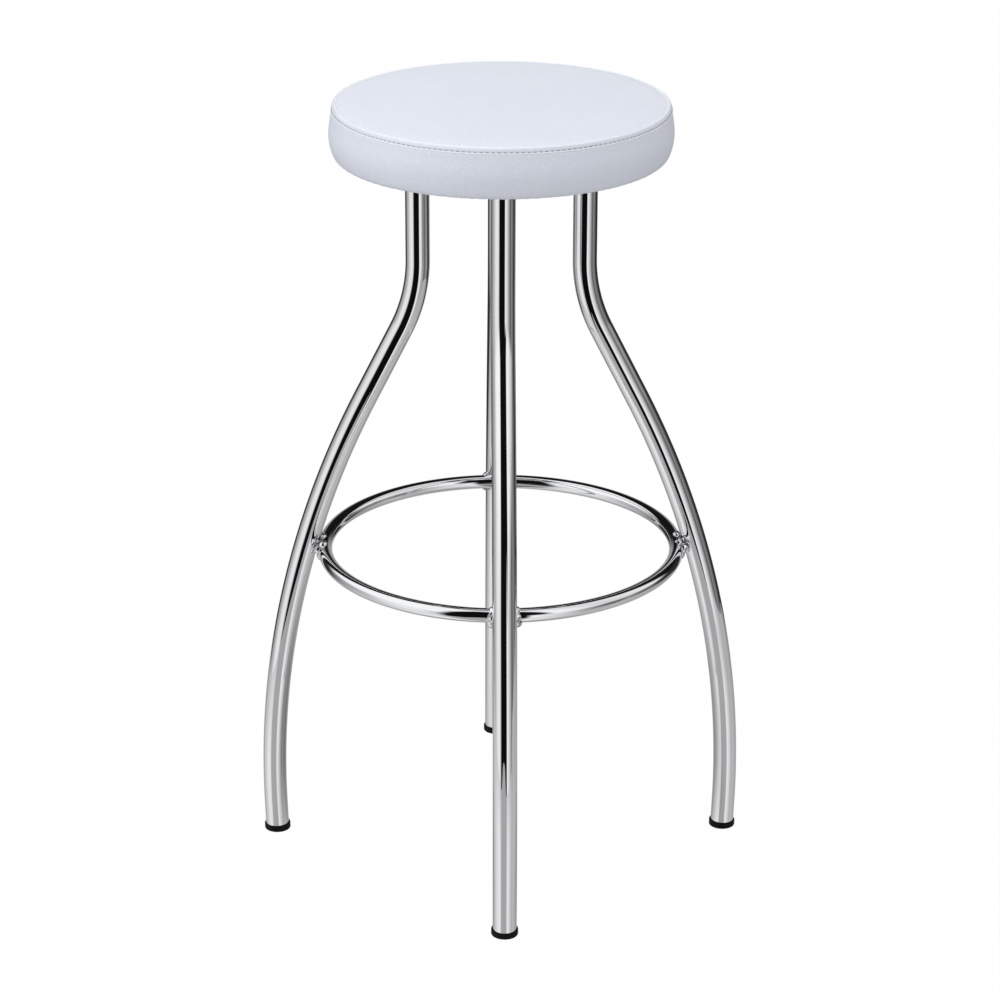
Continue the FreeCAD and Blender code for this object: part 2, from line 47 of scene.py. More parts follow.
# Seat cover, outer surface
PAD_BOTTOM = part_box("seat_side_band")[0].z
SEAT_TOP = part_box("seat_top_panel")[1].z
SEAM_HEIGHT = PAD_BOTTOM + 0.0528
SHOULDER_DROP = 0.0025
SHOULDER_WIDTH = 0.022
SHOULDER = (0.1483, SEAM_HEIGHT + SHOULDER_DROP)
LAP_HEIGHT = SEAM_HEIGHT - 0.0054
STITCH_HEIGHT = LAP_HEIGHT + 0.0014
COVER = 0.001
BULGE_CENTRE = (0.118, PAD_BOTTOM + 0.028)
BULGE_RADIUS = 0.057
TUCK_RADIUS = 0.009
TUCK_CENTRE = (0.1621, PAD_BOTTOM + TUCK_RADIUS)
JOIN_ANGLE = math.radians(-23.3)
HEM_RADIUS = 0.141
FOAM_GAP = 0.00015
BOARD_RADIUS = 0.161
BOARD_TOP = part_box("seat_board")[1].z
STITCHES = 186
STITCH_RADIUS = 0.1724
STITCH_SAMPLES = 4
CLOTH_STEPS = 20

# Legs and ring
LEG_RADIUS = 0.0125
LEG_WALL = 0.0015
NECK_RADIUS = 0.086
NECK_LENGTH = 0.097
NECK_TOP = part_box("frame_plate")[0].z
UPPER_BEND = 0.168
LEAN_LENGTH = 0.083
FOOT_RADIUS = 0.244
FOOT_SPLAY = math.radians(1.86)
FOOT_STRAIGHT = 0.032
TUBE_START = 0.007
RING_HEIGHT = 0.333
RING_TUBE = 0.0075
RING_WALL = 0.0012
RING_GAP = 0.0002
RING_ROOT = 0.001
WELD_GIRTHS = (0.0062, 0.0056, 0.0048)
MERGE_DISTANCE = 0.00001
LEGS = {"front": -90, "right": 0, "back": 90, "left": 180}

UP = Vector((0, 0, 1))


# Hand tools

def only(piece):
    """Select one piece alone and make it active."""
    bpy.ops.object.select_all(action="DESELECT")
    piece.select_set(True)
    bpy.context.view_layer.objects.active = piece


def edit(piece):
    only(piece)
    bpy.ops.object.mode_set(mode="EDIT")
    bpy.ops.mesh.select_mode(type="VERT")
    bpy.ops.mesh.select_all(action="SELECT")


def close_edit():
    bpy.ops.object.mode_set(mode="OBJECT")
    return bpy.context.view_layer.objects.active


def settle(piece, name):
    """Put a piece's place into its mesh, and name it."""
    only(piece)
    bpy.ops.object.transform_apply(location=True, rotation=True, scale=True)
    piece.name = name
    piece.data.name = name
    return piece


def apply_modifier(piece, kind, **settings):
    only(piece)
    modifier = piece.modifiers.new(kind, kind)
    for key, value in settings.items():
        setattr(modifier, key, value)
    bpy.ops.object.modifier_apply(modifier=modifier.name)


def smooth(piece, degrees=40):
    only(piece)
    bpy.ops.object.shade_smooth_by_angle(angle=math.radians(degrees))


def line_of_points(points):
    """A line of edges through points, drawn by extruding one vertex, left in edit mode."""
    bpy.ops.object.select_all(action="DESELECT")
    bpy.ops.mesh.primitive_plane_add(size=0.001, location=(0, 0, 0))
    bpy.ops.object.mode_set(mode="EDIT")
    bpy.ops.mesh.select_mode(type="VERT")
    bpy.ops.mesh.select_all(action="SELECT")
    bpy.ops.mesh.merge(type="CENTER")
    bpy.ops.transform.translate(value=points[0])
    for here, there in zip(points, points[1:]):
        bpy.ops.mesh.extrude_region_move(TRANSFORM_OT_translate={"value": there - here})


def turned(name, profile, steps):
    """A surface turned round the stool's axis from (radius, height) points."""
    line_of_points([Vector((r, 0, z)) for r, z in profile])
    bpy.ops.mesh.select_all(action="SELECT")
    bpy.ops.mesh.spin(steps=steps, angle=math.tau, center=(0, 0, 0), axis=(0, 0, 1))
    bpy.ops.mesh.select_all(action="SELECT")
    bpy.ops.mesh.remove_doubles(threshold=MERGE_DISTANCE)
    bpy.ops.mesh.normals_make_consistent(inside=False)
    return settle(close_edit(), name)


def arc(centre, radius, start, end, count):
    """Points (radius, height) along an arc, both ends included."""
    points = []
    for k in range(count + 1):
        angle = start + (end - start) * k / count
        points.append((centre[0] + radius * math.cos(angle), centre[1] + radius * math.sin(angle)))
    return points


def spread(start, end, count):
    """Evenly spaced values from start to end, both included."""
    return [start + (end - start) * k / count for k in range(count + 1)]


def ease(value, low, high):
    """Smooth step from 0 at low to 1 at high."""
    t = min(1.0, max(0.0, (value - low) / (high - low)))
    return t * t * (3 - 2 * t)


def around_axis(piece, name, degrees):
    """A copy of a piece turned about the stool's axis, with its own mesh."""
    copy = piece.copy()
    copy.data = piece.data.copy()
    bpy.context.scene.collection.objects.link(copy)
    copy.data.transform(Matrix.Rotation(math.radians(degrees), 4, "Z"))
    copy.name = name
    copy.data.name = name
    return copy


# Seat shapes

def crown_height_at(radius, inset=0.0):
    """Height of the top of the pad at a distance from the axis, lowered by an inset."""
    drop = SEAT_TOP - SHOULDER[1]
    crown = (SHOULDER[0] ** 2 + drop ** 2) / (2 * drop)
    if radius <= SHOULDER[0]:
        return SEAT_TOP - inset - crown + math.sqrt(crown ** 2 - radius ** 2)
    slope = SHOULDER[0] / crown
    t = (radius - SHOULDER[0]) / SHOULDER_WIDTH
    fall = slope * SHOULDER_WIDTH * t + (SHOULDER_DROP - slope * SHOULDER_WIDTH) * t * t
    return SHOULDER[1] - inset - fall


def side_profile(inset, count):
    """Points down the bulged side and round the bottom edge, set in by an inset."""
    top_angle = math.asin((LAP_HEIGHT - BULGE_CENTRE[1]) / (BULGE_RADIUS - inset))
    side = arc(BULGE_CENTRE, BULGE_RADIUS - inset, top_angle, JOIN_ANGLE, count)
    tuck = arc(TUCK_CENTRE, TUCK_RADIUS - inset, JOIN_ANGLE, -math.pi / 2, count // 2)
    return side + tuck[1:]


def inflate(piece, pressure, cap, pinned):
    """Blow a closed mesh up as cloth, hold the pinned points, and cap how far a point moves."""
    start = [v.co.copy() for v in piece.data.vertices]
    held = piece.vertex_groups.new(name="held")
    held.add([k for k, co in enumerate(start) if pinned(co)], 1.0, "REPLACE")
    only(piece)
    cloth = piece.modifiers.new("inflate", "CLOTH")
    cloth.settings.quality = 6
    cloth.settings.mass = 0.3
    cloth.settings.tension_stiffness = 18
    cloth.settings.compression_stiffness = 18
    cloth.settings.shear_stiffness = 8
    cloth.settings.bending_stiffness = 2
    cloth.settings.use_pressure = True
    cloth.settings.uniform_pressure_force = pressure
    cloth.settings.effector_weights.gravity = 0
    cloth.settings.vertex_group_mass = "held"
    cloth.point_cache.frame_start = 1
    cloth.point_cache.frame_end = CLOTH_STEPS
    for step in range(1, CLOTH_STEPS + 1):
        bpy.context.scene.frame_set(step)
    bpy.ops.object.modifier_apply(modifier="inflate")
    bpy.context.scene.frame_set(1)
    for vertex, before in zip(piece.data.vertices, start):
        move = vertex.co - before
        if move.length > cap:
            vertex.co = before + move * (cap / move.length)


def make_foam():
    """The foam pad: a slightly smaller form on the board, swollen by cloth pressure."""
    swell = 0.002
    inset = COVER + FOAM_GAP + swell
    shelf = BOARD_RADIUS + 0.0012
    ledge = BOARD_TOP + 0.0006
    top = [(r, crown_height_at(r, inset)) for r in spread(0, 0.164, 16)]
    side = side_profile(inset, 12)
    low = side[-1][1]
    profile = top + [(0.1672, SEAM_HEIGHT - 0.0052)] + side
    profile += [(shelf, low), (shelf, ledge), (0, ledge)]
    foam = turned("foam_pad", profile, 128)
    apply_modifier(foam, "REMESH", mode="VOXEL", voxel_size=0.005, adaptivity=0)

    def rests(co):
        reach = math.hypot(co.x, co.y)
        on_board = co.z < BOARD_TOP + 0.003 and reach < BOARD_RADIUS + 0.002
        near_seam = abs(co.z - LAP_HEIGHT) < 0.004 and reach > 0.16
        return on_board or near_seam or co.z < PAD_BOTTOM + 0.004

    inflate(foam, 4.0, swell, rests)
    edit(foam)
    bpy.ops.mesh.vertices_smooth(factor=0.5, repeat=2)
    close_edit()
    apply_modifier(foam, "SUBSURF", levels=1, render_levels=1)
    smooth(foam, 60)
    return foam


def draw_over(panel, foam, weight_at, passes):
    """Draw a cover panel over the swollen foam where it isn't held by a seam."""
    group = panel.vertex_groups.new(name="loose")
    for vertex in panel.data.vertices:
        weight = weight_at(vertex.co)
        if weight > 0:
            group.add([vertex.index], weight, "REPLACE")
    apply_modifier(panel, "SHRINKWRAP", target=foam, wrap_method="NEAREST_SURFACEPOINT",
                   wrap_mode="OUTSIDE_SURFACE", offset=COVER + FOAM_GAP, vertex_group="loose")
    apply_modifier(panel, "SMOOTH", factor=0.5, iterations=passes, vertex_group="loose")


def make_top_panel(foam):
    """The round top of the cover: crown, raised fold, and the lap stitched down the side."""
    seam = SEAM_HEIGHT
    edge_dip = 0.0007
    crown = spread(0, 0.145, 15) + [0.149, 0.153, 0.157, 0.161, 0.1645, 0.1665]
    profile = [(r, crown_height_at(r) - edge_dip * ease(r, 0.146, 0.167)) for r in crown]
    profile += [
        (0.1675, seam - 0.00035), (0.1681, seam - 0.00012), (0.1686, seam + 0.00026),
        (0.1691, seam + 0.00036), (0.1695, seam + 0.00026), (0.1698, seam - 0.0002),
        (0.1700, seam - 0.0009), (0.1703, seam - 0.0002), (0.1706, seam + 0.00002),
        (0.1709, seam - 0.00014), (0.1712, seam - 0.00052), (0.1715, seam - 0.0012),
        (0.1718, seam - 0.0020), (0.1720, seam - 0.0028), (0.1721, seam - 0.0034),
        (0.1721, STITCH_HEIGHT), (0.1723, STITCH_HEIGHT - 0.0006), (0.1727, LAP_HEIGHT + 0.0003),
        (0.1728, LAP_HEIGHT), (0.1725, LAP_HEIGHT - 0.0004),
    ]
    panel = turned("seat_top_cover", profile, STITCHES * STITCH_SAMPLES)

    def loose(co):
        return 0.4 - 0.4 * ease(math.hypot(co.x, co.y), 0.140, 0.163)

    draw_over(panel, foam, loose, 12)
    pull_depth = 0.00025
    edge_lift = 0.00008
    for vertex in panel.data.vertices:
        co = vertex.co
        reach = math.hypot(co.x, co.y)
        if co.z > seam - 0.0005 and reach < 0.1705:
            continue
        turn = math.atan2(co.y, co.x) * STITCHES / math.tau
        pull = 0.5 + 0.5 * math.cos(turn * math.tau)
        near = math.exp(-((co.z - STITCH_HEIGHT) / 0.0007) ** 2)
        below = ease(STITCH_HEIGHT - co.z, 0.0, 0.0012)
        shift = -pull_depth * near * (0.5 + 0.5 * pull) + edge_lift * below * (1 - pull)
        vertex.co.x += co.x / reach * shift
        vertex.co.y += co.y / reach * shift
    apply_modifier(panel, "SOLIDIFY", thickness=COVER, offset=-1, use_even_offset=True)
    smooth(panel, 50)
    return panel


def make_side_band(foam):
    """The side of the cover: from under the lap, round the bulge, to the pleated hem."""
    profile = [(0.1701, LAP_HEIGHT + 0.0024), (0.1705, LAP_HEIGHT + 0.0012)]
    profile += side_profile(0, 26)
    hem = (0.1605, 0.1585, 0.1565, 0.1545, 0.151, 0.146, HEM_RADIUS)
    profile += [(r, PAD_BOTTOM) for r in hem]
    band = turned("seat_side_cover", profile, 558)

    def loose(co):
        below_lap = ease(LAP_HEIGHT - co.z, 0.002, 0.012)
        return 0.15 * below_lap * ease(co.z, PAD_BOTTOM + 0.006, PAD_BOTTOM + 0.016)

    draw_over(band, foam, loose, 3)
    pleats = random.Random(11)
    places = []
    angle = 0.0
    while angle < math.tau:
        places.append((angle, pleats.uniform(0.5, 1.0), pleats.uniform(0.006, 0.011)))
        angle += pleats.uniform(0.045, 0.085)
    hem_pleat = 0.00028
    tuck_pleat = 0.00045
    lap_push = 0.0006
    for vertex in band.data.vertices:
        co = vertex.co
        reach = math.hypot(co.x, co.y)
        turn = math.atan2(co.y, co.x) % math.tau
        lift = 0.0
        for place, depth, width in places:
            apart = abs((turn - place + math.pi) % math.tau - math.pi)
            if apart < 4 * width:
                lift += depth * math.exp(-(apart / width) ** 2)
        on_hem = 1 - ease(reach, 0.155, 0.1625)
        on_tuck = (1 - ease(co.z, PAD_BOTTOM, PAD_BOTTOM + 0.011)) * ease(reach, 0.150, 0.160)
        crease = hem_pleat * on_hem * (1 - on_tuck) + tuck_pleat * on_tuck
        outward = Vector((co.x / reach, co.y / reach, 0))
        co += outward * (lap_push * ease(co.z, LAP_HEIGHT - 0.007, LAP_HEIGHT - 0.001))
        rise = UP * 0.9 - outward * (0.4 * on_tuck)
        vertex.co = co + rise * (crease * (lift - 0.6 * on_tuck))
        sideways = co.x / reach
        full = 0.0003 + 0.0011 * sideways ** 2 + 0.0008 * max(0.0, -sideways) ** 2
        low = (1 - ease(co.z, PAD_BOTTOM + 0.012, PAD_BOTTOM + 0.040)) * ease(reach, 0.158, 0.166)
        vertex.co += (outward * 0.85 - UP * 0.5) * (full * low)
    apply_modifier(band, "SOLIDIFY", thickness=COVER, offset=-1, use_even_offset=True)
    smooth(band, 50)
    return band


def make_topstitch():
    """The topstitch thread: one stitch, dipped at both ends, repeated round the seat."""
    length = 0.0036
    dip = 0.00055
    bpy.ops.object.select_all(action="DESELECT")
    bpy.ops.mesh.primitive_cylinder_add(vertices=8, radius=0.00029, depth=length,
                                        end_fill_type="TRIFAN",
                                        location=(STITCH_RADIUS, 0, STITCH_HEIGHT),
                                        rotation=(math.pi / 2, 0, 0))
    stitch = settle(bpy.context.active_object, "topstitch_thread")
    edit(stitch)
    bpy.ops.mesh.subdivide(number_cuts=1)
    close_edit()
    for vertex in stitch.data.vertices:
        along = abs(vertex.co.y) / (length / 2)
        thin = 1 - 0.45 * along ** 3
        vertex.co.z = STITCH_HEIGHT + (vertex.co.z - STITCH_HEIGHT) * thin
        vertex.co.x = STITCH_RADIUS + (vertex.co.x - STITCH_RADIUS) * thin - dip * along ** 2
    step = math.tau / STITCHES
    stitch.data.transform(Matrix.Rotation(step / 2, 4, "Z"))
    edit(stitch)
    bpy.ops.mesh.spin(steps=STITCHES - 1, angle=step * (STITCHES - 1), dupli=True,
                      center=(0, 0, 0), axis=(0, 0, 1))
    close_edit()
    smooth(stitch, 60)
    return stitch


def make_dust_cover():
    """The black cloth under the board, tight under the plate and slack between the staples."""
    low = PAD_BOTTOM
    high = PAD_BOTTOM + COVER
    profile = [(r, high) for r in spread(0.0251, 0.1370, 20)] + [(0.1380, high)]
    profile += [(0.1392, high - 0.0004), (0.1406, low)]
    profile += [(r, low) for r in (0.1430, 0.1460, 0.1490, 0.1520, 0.1545, 0.1560)]
    cloth = turned("dust_cloth", profile, 240)
    staples = 24
    slack = 0.0007
    edge_puff = 0.0004
    for vertex in cloth.data.vertices:
        co = vertex.co
        reach = math.hypot(co.x, co.y)
        turn = math.atan2(co.y, co.x)
        free = ease(max(abs(co.x), abs(co.y)), 0.078, 0.092) * (1 - ease(reach, 0.130, 0.138))
        ripple = 0.5 + 0.3 * math.sin(turn * staples) + 0.2 * math.sin(turn * 7 + 1)
        vertex.co.z -= slack * free * ripple
        puff = ease(reach, 0.152, 0.156) * (0.5 + 0.5 * math.cos(turn * staples))
        vertex.co.z -= edge_puff * puff
    apply_modifier(cloth, "SOLIDIFY", thickness=0.0005, offset=1, use_even_offset=True)
    smooth(cloth, 50)
    return cloth


# Frame shapes

def solve_lean():
    """Lean of a leg's straight run, and radius of its long bend, from the sizes above."""
    def bend_for(lean):
        inward = FOOT_RADIUS + FOOT_STRAIGHT * math.sin(FOOT_SPLAY) - NECK_RADIUS
        inward -= UPPER_BEND * (1 - math.cos(lean))
        inward -= LEAN_LENGTH * math.sin(lean)
        return inward / (math.cos(FOOT_SPLAY) - math.cos(lean))

    low, high = FOOT_SPLAY + 0.1, 1.3
    halvings = 60
    for _ in range(halvings):
        lean = (low + high) / 2
        rise = FOOT_STRAIGHT * math.cos(FOOT_SPLAY)
        rise += bend_for(lean) * (math.sin(FOOT_SPLAY) + math.sin(lean))
        rise += LEAN_LENGTH * math.cos(lean) + UPPER_BEND * math.sin(lean)
        if rise > NECK_TOP - NECK_LENGTH:
            low = lean
        else:
            high = lean
    return lean, bend_for(lean)


LEAN, LONG_BEND = solve_lean()
FOOT_AXIS = Vector((math.sin(FOOT_SPLAY), 0, math.cos(FOOT_SPLAY)))
FOOT_POINT = Vector((FOOT_RADIUS, 0, 0))
BEND_START = FOOT_POINT + FOOT_AXIS * FOOT_STRAIGHT
BEND_CENTRE = BEND_START + Vector((-FOOT_AXIS.z, 0, FOOT_AXIS.x)) * LONG_BEND


def ring_contact():
    """Middle of the ring's tube where it passes a leg, and the direction to the leg's axis."""
    rise = RING_HEIGHT - BEND_CENTRE.z
    reach = LONG_BEND - LEG_RADIUS - RING_TUBE - RING_GAP
    middle = Vector((BEND_CENTRE.x + math.sqrt(reach ** 2 - rise ** 2), 0, RING_HEIGHT))
    return middle, (middle - BEND_CENTRE).normalized()


RING_MIDDLE, RING_OUTWARD = ring_contact()


def make_leg():
    """A bent tube: straight foot, long bend, straight lean, upper bend, upright neck."""
    sides, long_steps, upper_steps = 80, 144, 56
    start = FOOT_POINT + FOOT_AXIS * TUBE_START
    bpy.ops.object.select_all(action="DESELECT")
    bpy.ops.mesh.primitive_circle_add(vertices=sides, radius=LEG_RADIUS, location=start,
                                      rotation=(0, FOOT_SPLAY, 0))
    leg = settle(bpy.context.active_object, "leg_tube")
    edit(leg)
    bpy.ops.mesh.extrude_region_move(TRANSFORM_OT_translate={"value": BEND_START - start})
    bpy.ops.mesh.spin(steps=long_steps, angle=LEAN + FOOT_SPLAY, center=BEND_CENTRE, axis=(0, 1, 0))
    lean = Vector((-math.sin(LEAN), 0, math.cos(LEAN)))
    bpy.ops.mesh.extrude_region_move(TRANSFORM_OT_translate={"value": lean * LEAN_LENGTH})
    upper = Vector((NECK_RADIUS + UPPER_BEND, 0, NECK_TOP - NECK_LENGTH))
    bpy.ops.mesh.spin(steps=upper_steps, angle=-LEAN, center=upper, axis=(0, 1, 0))
    bpy.ops.mesh.extrude_region_move(TRANSFORM_OT_translate={"value": UP * NECK_LENGTH})
    bpy.ops.mesh.select_all(action="SELECT")
    bpy.ops.mesh.remove_doubles(threshold=MERGE_DISTANCE)
    bpy.ops.mesh.normals_make_consistent(inside=False)
    close_edit()
    apply_modifier(leg, "SOLIDIFY", thickness=LEG_WALL, offset=-1)
    smooth(leg, 40)
    return leg


def make_foot_ring():
    """The ring of bent tube, open by the root gap of its butt weld behind the back leg."""
    sides, steps = 96, 400
    gap = RING_ROOT / RING_MIDDLE.x
    bpy.ops.object.select_all(action="DESELECT")
    bpy.ops.mesh.primitive_circle_add(vertices=sides, radius=RING_TUBE, location=RING_MIDDLE,
                                      rotation=(math.pi / 2, 0, 0))
    ring = settle(bpy.context.active_object, "foot_ring_tube")
    ring.data.transform(Matrix.Rotation(math.pi / 2 + gap / 2, 4, "Z"))
    edit(ring)
    bpy.ops.mesh.spin(steps=steps, angle=gap - math.tau, center=(0, 0, 0), axis=(0, 0, 1))
    bpy.ops.mesh.select_all(action="SELECT")
    bpy.ops.mesh.normals_make_consistent(inside=False)
    close_edit()
    apply_modifier(ring, "SOLIDIFY", thickness=RING_WALL, offset=-1)
    smooth(ring, 40)
    return ring


def make_ring_weld(seed):
    """Two lumpy beads, one each side of the leg, run round the ring's tube and plated over."""
    dice = random.Random(seed)
    first, apart = -70, 62
    upward = Vector((-RING_OUTWARD.z, 0, RING_OUTWARD.x))
    lumps = []
    for side in (-1, 1):
        for k, girth in enumerate(WELD_GIRTHS):
            angle = math.radians(first + apart * k + dice.uniform(-9, 9))
            offset = RING_OUTWARD * math.cos(angle) + upward * math.sin(angle)
            reach = dice.uniform(0.0058, 0.0072)
            beside = 0.0100 + 0.0010 * abs(math.sin(angle)) + dice.uniform(-0.0008, 0.0016)
            place = RING_MIDDLE + offset * reach + Vector((0, side * beside, 0))
            radius = girth * dice.uniform(0.9, 1.1)
            bpy.ops.object.select_all(action="DESELECT")
            bpy.ops.mesh.primitive_ico_sphere_add(subdivisions=3, radius=radius, location=place)
            lumps.append(bpy.context.active_object)
    only(lumps[0])
    for lump in lumps:
        lump.select_set(True)
    bpy.ops.object.join()
    weld = settle(bpy.context.active_object, "ring_weld_bead")
    apply_modifier(weld, "REMESH", mode="VOXEL", voxel_size=0.0006, adaptivity=0)
    apply_modifier(weld, "SMOOTH", factor=0.5, iterations=6)
    smooth(weld, 80)
    return weld


# Materials

def material(name):
    made = bpy.data.materials.new(name)
    made.use_nodes = True
    return made, made.node_tree, made.node_tree.nodes["Principled BSDF"]


def node(tree, kind, inputs=None, **settings):
    """Add a node, set its options, and fill inputs with values or links."""
    made = tree.nodes.new(kind)
    for key, value in settings.items():
        setattr(made, key, value)
    for key, value in (inputs or {}).items():
        if isinstance(value, bpy.types.NodeSocket):
            tree.links.new(value, made.inputs[key])
        else:
            made.inputs[key].default_value = value
    return made


def feed(tree, output, shader, key):
    tree.links.new(output, shader.inputs[key])


def object_point(tree, scale=(1, 1, 1)):
    """Place on the object in metres, stretched by a scale."""
    place = node(tree, "ShaderNodeTexCoord").outputs["Object"]
    return node(tree, "ShaderNodeMapping", {"Vector": place, "Scale": scale}).outputs[0]


def noise(tree, point, scale, detail=2.0, roughness=0.5):
    return node(tree, "ShaderNodeTexNoise", {"Vector": point, "Scale": scale, "Detail": detail,
                                            "Roughness": roughness}).outputs["Fac"]


def cells(tree, point, scale, feature="F1"):
    return node(tree, "ShaderNodeTexVoronoi", {"Vector": point, "Scale": scale},
                feature=feature).outputs["Distance"]


def between(tree, value, low, high, to_low, to_high):
    """Map a value from one range to another."""
    return node(tree, "ShaderNodeMapRange", {"Value": value, "From Min": low, "From Max": high,
                                            "To Min": to_low, "To Max": to_high}).outputs[0]


def blend_colours(tree, factor, first, second):
    made = node(tree, "ShaderNodeMix", {}, data_type="RGBA")
    tree.links.new(factor, made.inputs["Factor"])
    for key, value in (("A", first), ("B", second)):
        socket = [s for s in made.inputs if s.name == key and s.type == "RGBA"][0]
        if isinstance(value, bpy.types.NodeSocket):
            tree.links.new(value, socket)
        else:
            socket.default_value = (*value, 1)
    return [s for s in made.outputs if s.type == "RGBA"][0]


def maths(tree, operation, first, second=None):
    inputs = {0: first}
    if second is not None:
        inputs[1] = second
    return node(tree, "ShaderNodeMath", inputs, operation=operation).outputs[0]


def bump(tree, height, strength, distance, normal=None):
    inputs = {"Height": height, "Strength": strength, "Distance": distance}
    if normal is not None:
        inputs["Normal"] = normal
    return node(tree, "ShaderNodeBump", inputs).outputs[0]


def vinyl():
    """Cool white upholstery vinyl: fine pebble grain with painted shade in its creases, painted
    glints as white flecks, and painted highlights on the fold and lap edge.
    """
    made, tree, shader = material("cover_vinyl")
    point = object_point(tree)
    pebbles = cells(tree, point, 780.0)
    creases = cells(tree, point, 780.0, "DISTANCE_TO_EDGE")
    fine = noise(tree, point, 2600.0, 3.0)
    broad = noise(tree, point, 14.0, 3.0)
    tone = blend_colours(tree, broad, (0.700, 0.728, 0.800), (0.745, 0.770, 0.835))
    # Darker colour along the pebble creases, where the bump below sinks: painted shade.
    line = between(tree, creases, 0.0, 0.12, 0.0, 1.0)
    crease_painted_shade = blend_colours(tree, line, (0.600, 0.625, 0.700), tone)
    # Small white dots in the colour, more of them on the side band than on the top: painted glints.
    dots = node(tree, "ShaderNodeTexVoronoi", {"Vector": point, "Scale": 300.0})
    glint_pick = node(tree, "ShaderNodeSeparateColor", {0: dots.outputs["Color"]}).outputs[0]
    glint_chance = between(tree, glint_pick, 0.35, 0.65, 0.0, 1.0)
    glint_spot = between(tree, dots.outputs["Distance"], 0.10, 0.18, 1.0, 0.0)
    height = node(tree, "ShaderNodeSeparateXYZ", {"Vector": point}).outputs["Z"]
    share = between(tree, height, SEAM_HEIGHT - 0.004, SEAM_HEIGHT, 0.8, 0.2)
    painted_glint = maths(tree, "MULTIPLY", maths(tree, "MULTIPLY", glint_spot, glint_chance), share)
    # A pale line on the fold ridge and another on the lap's lower edge: painted highlights.
    reach = node(tree, "ShaderNodeVectorMath", {0: object_point(tree, (1, 1, 0))},
                 operation="LENGTH").outputs["Value"]
    fold = between(tree, height, SEAM_HEIGHT - 0.0002, SEAM_HEIGHT + 0.0001, 0.0, 0.4)
    fold_painted_highlight = maths(tree, "MULTIPLY", fold, between(tree, reach, 0.1680, 0.1685, 0.0, 1.0))
    from_edge = maths(tree, "ABSOLUTE", maths(tree, "SUBTRACT", height, LAP_HEIGHT))
    edge = between(tree, from_edge, 0.0004, 0.0007, 0.5, 0.0)
    lap_edge_painted_highlight = maths(tree, "MULTIPLY", edge, between(tree, reach, 0.1723, 0.1725, 0.0, 1.0))
    # pale gathers the painted glints and the painted highlights into one white mix.
    pale = maths(tree, "MAXIMUM", painted_glint, maths(tree, "MAXIMUM", fold_painted_highlight, lap_edge_painted_highlight))
    feed(tree, blend_colours(tree, pale, crease_painted_shade, (1.0, 1.0, 1.0)), shader, "Base Color")
    feed(tree, between(tree, fine, 0.3, 0.7, 0.40, 0.54), shader, "Roughness")
    shader.inputs["Specular IOR Level"].default_value = 0.42
    shader.inputs["Sheen Weight"].default_value = 0.06
    grain = bump(tree, line, 0.35, 0.00012)
    grain = bump(tree, pebbles, 0.20, 0.00010, grain)
    feed(tree, bump(tree, fine, 0.12, 0.00006, grain), shader, "Normal")
    return made


def thread():
    """Grey bonded thread with a twist along each stitch."""
    made, tree, shader = material("stitch_thread")
    point = object_point(tree)
    twist = noise(tree, point, 2200.0, 2.0)
    grey = blend_colours(tree, twist, (0.10, 0.095, 0.10), (0.22, 0.215, 0.225))
    feed(tree, grey, shader, "Base Color")
    shader.inputs["Roughness"].default_value = 0.7
    feed(tree, bump(tree, twist, 0.5, 0.00008), shader, "Normal")
    return made


def chrome(name, roughness, ripple):
    """Bright chrome plate, with faint polishing waves and smears."""
    made, tree, shader = material(name)
    point = object_point(tree)
    smear = noise(tree, point, 22.0, 4.0, 0.6)
    plate = blend_colours(tree, smear, (0.86, 0.865, 0.88), (0.93, 0.935, 0.945))
    feed(tree, plate, shader, "Base Color")
    shader.inputs["Metallic"].default_value = 1.0
    dulled = between(tree, smear, 0.35, 0.75, roughness, roughness + 0.025)
    feed(tree, dulled, shader, "Roughness")
    wave = noise(tree, object_point(tree, (1, 1, 0.16)), 90.0, 1.0)
    feed(tree, bump(tree, wave, ripple, 0.0004), shader, "Normal")
    return made


def plated_weld():
    """Plated weld metal: the same chrome over a rippled bead, darker in the ripple's hollows as
    painted shade.
    """
    made, tree, shader = material("plated_weld")
    point = object_point(tree)
    crust = noise(tree, point, 260.0, 2.0, 0.5)
    # The ripple's low places are painted dark: painted shade.
    hollow_painted_shade = between(tree, crust, 0.40, 0.54, 0.0, 1.0)
    plate = blend_colours(tree, hollow_painted_shade, (0.30, 0.30, 0.31), (0.95, 0.955, 0.965))
    feed(tree, plate, shader, "Base Color")
    shader.inputs["Metallic"].default_value = 1.0
    feed(tree, between(tree, crust, 0.3, 0.7, 0.02, 0.08), shader, "Roughness")
    feed(tree, bump(tree, crust, 0.06, 0.0005), shader, "Normal")
    return made


def rubber():
    """Black moulded rubber with a dull, faintly speckled skin."""
    made, tree, shader = material("cap_rubber")
    point = object_point(tree)
    speck = noise(tree, point, 900.0, 3.0)
    dust = noise(tree, point, 60.0, 4.0)
    black = blend_colours(tree, dust, (0.0015, 0.0015, 0.002), (0.004, 0.004, 0.0045))
    feed(tree, black, shader, "Base Color")
    feed(tree, between(tree, speck, 0.3, 0.7, 0.42, 0.58), shader, "Roughness")
    shader.inputs["Specular IOR Level"].default_value = 0.12
    feed(tree, bump(tree, speck, 0.35, 0.00012), shader, "Normal")
    return made


def foam_cells():
    """Cream polyurethane foam with open cells, darker in the pores as painted shade."""
    made, tree, shader = material("seat_foam")
    point = object_point(tree)
    pore_pits_and_shade = cells(tree, point, 1400.0)
    # The pores are painted darker brown: painted shade in the pits that the bump makes.
    cream = blend_colours(tree, pore_pits_and_shade, (0.42, 0.34, 0.18), (0.72, 0.63, 0.42))
    feed(tree, cream, shader, "Base Color")
    shader.inputs["Roughness"].default_value = 0.95
    feed(tree, bump(tree, pore_pits_and_shade, 0.8, 0.0004), shader, "Normal")
    return made


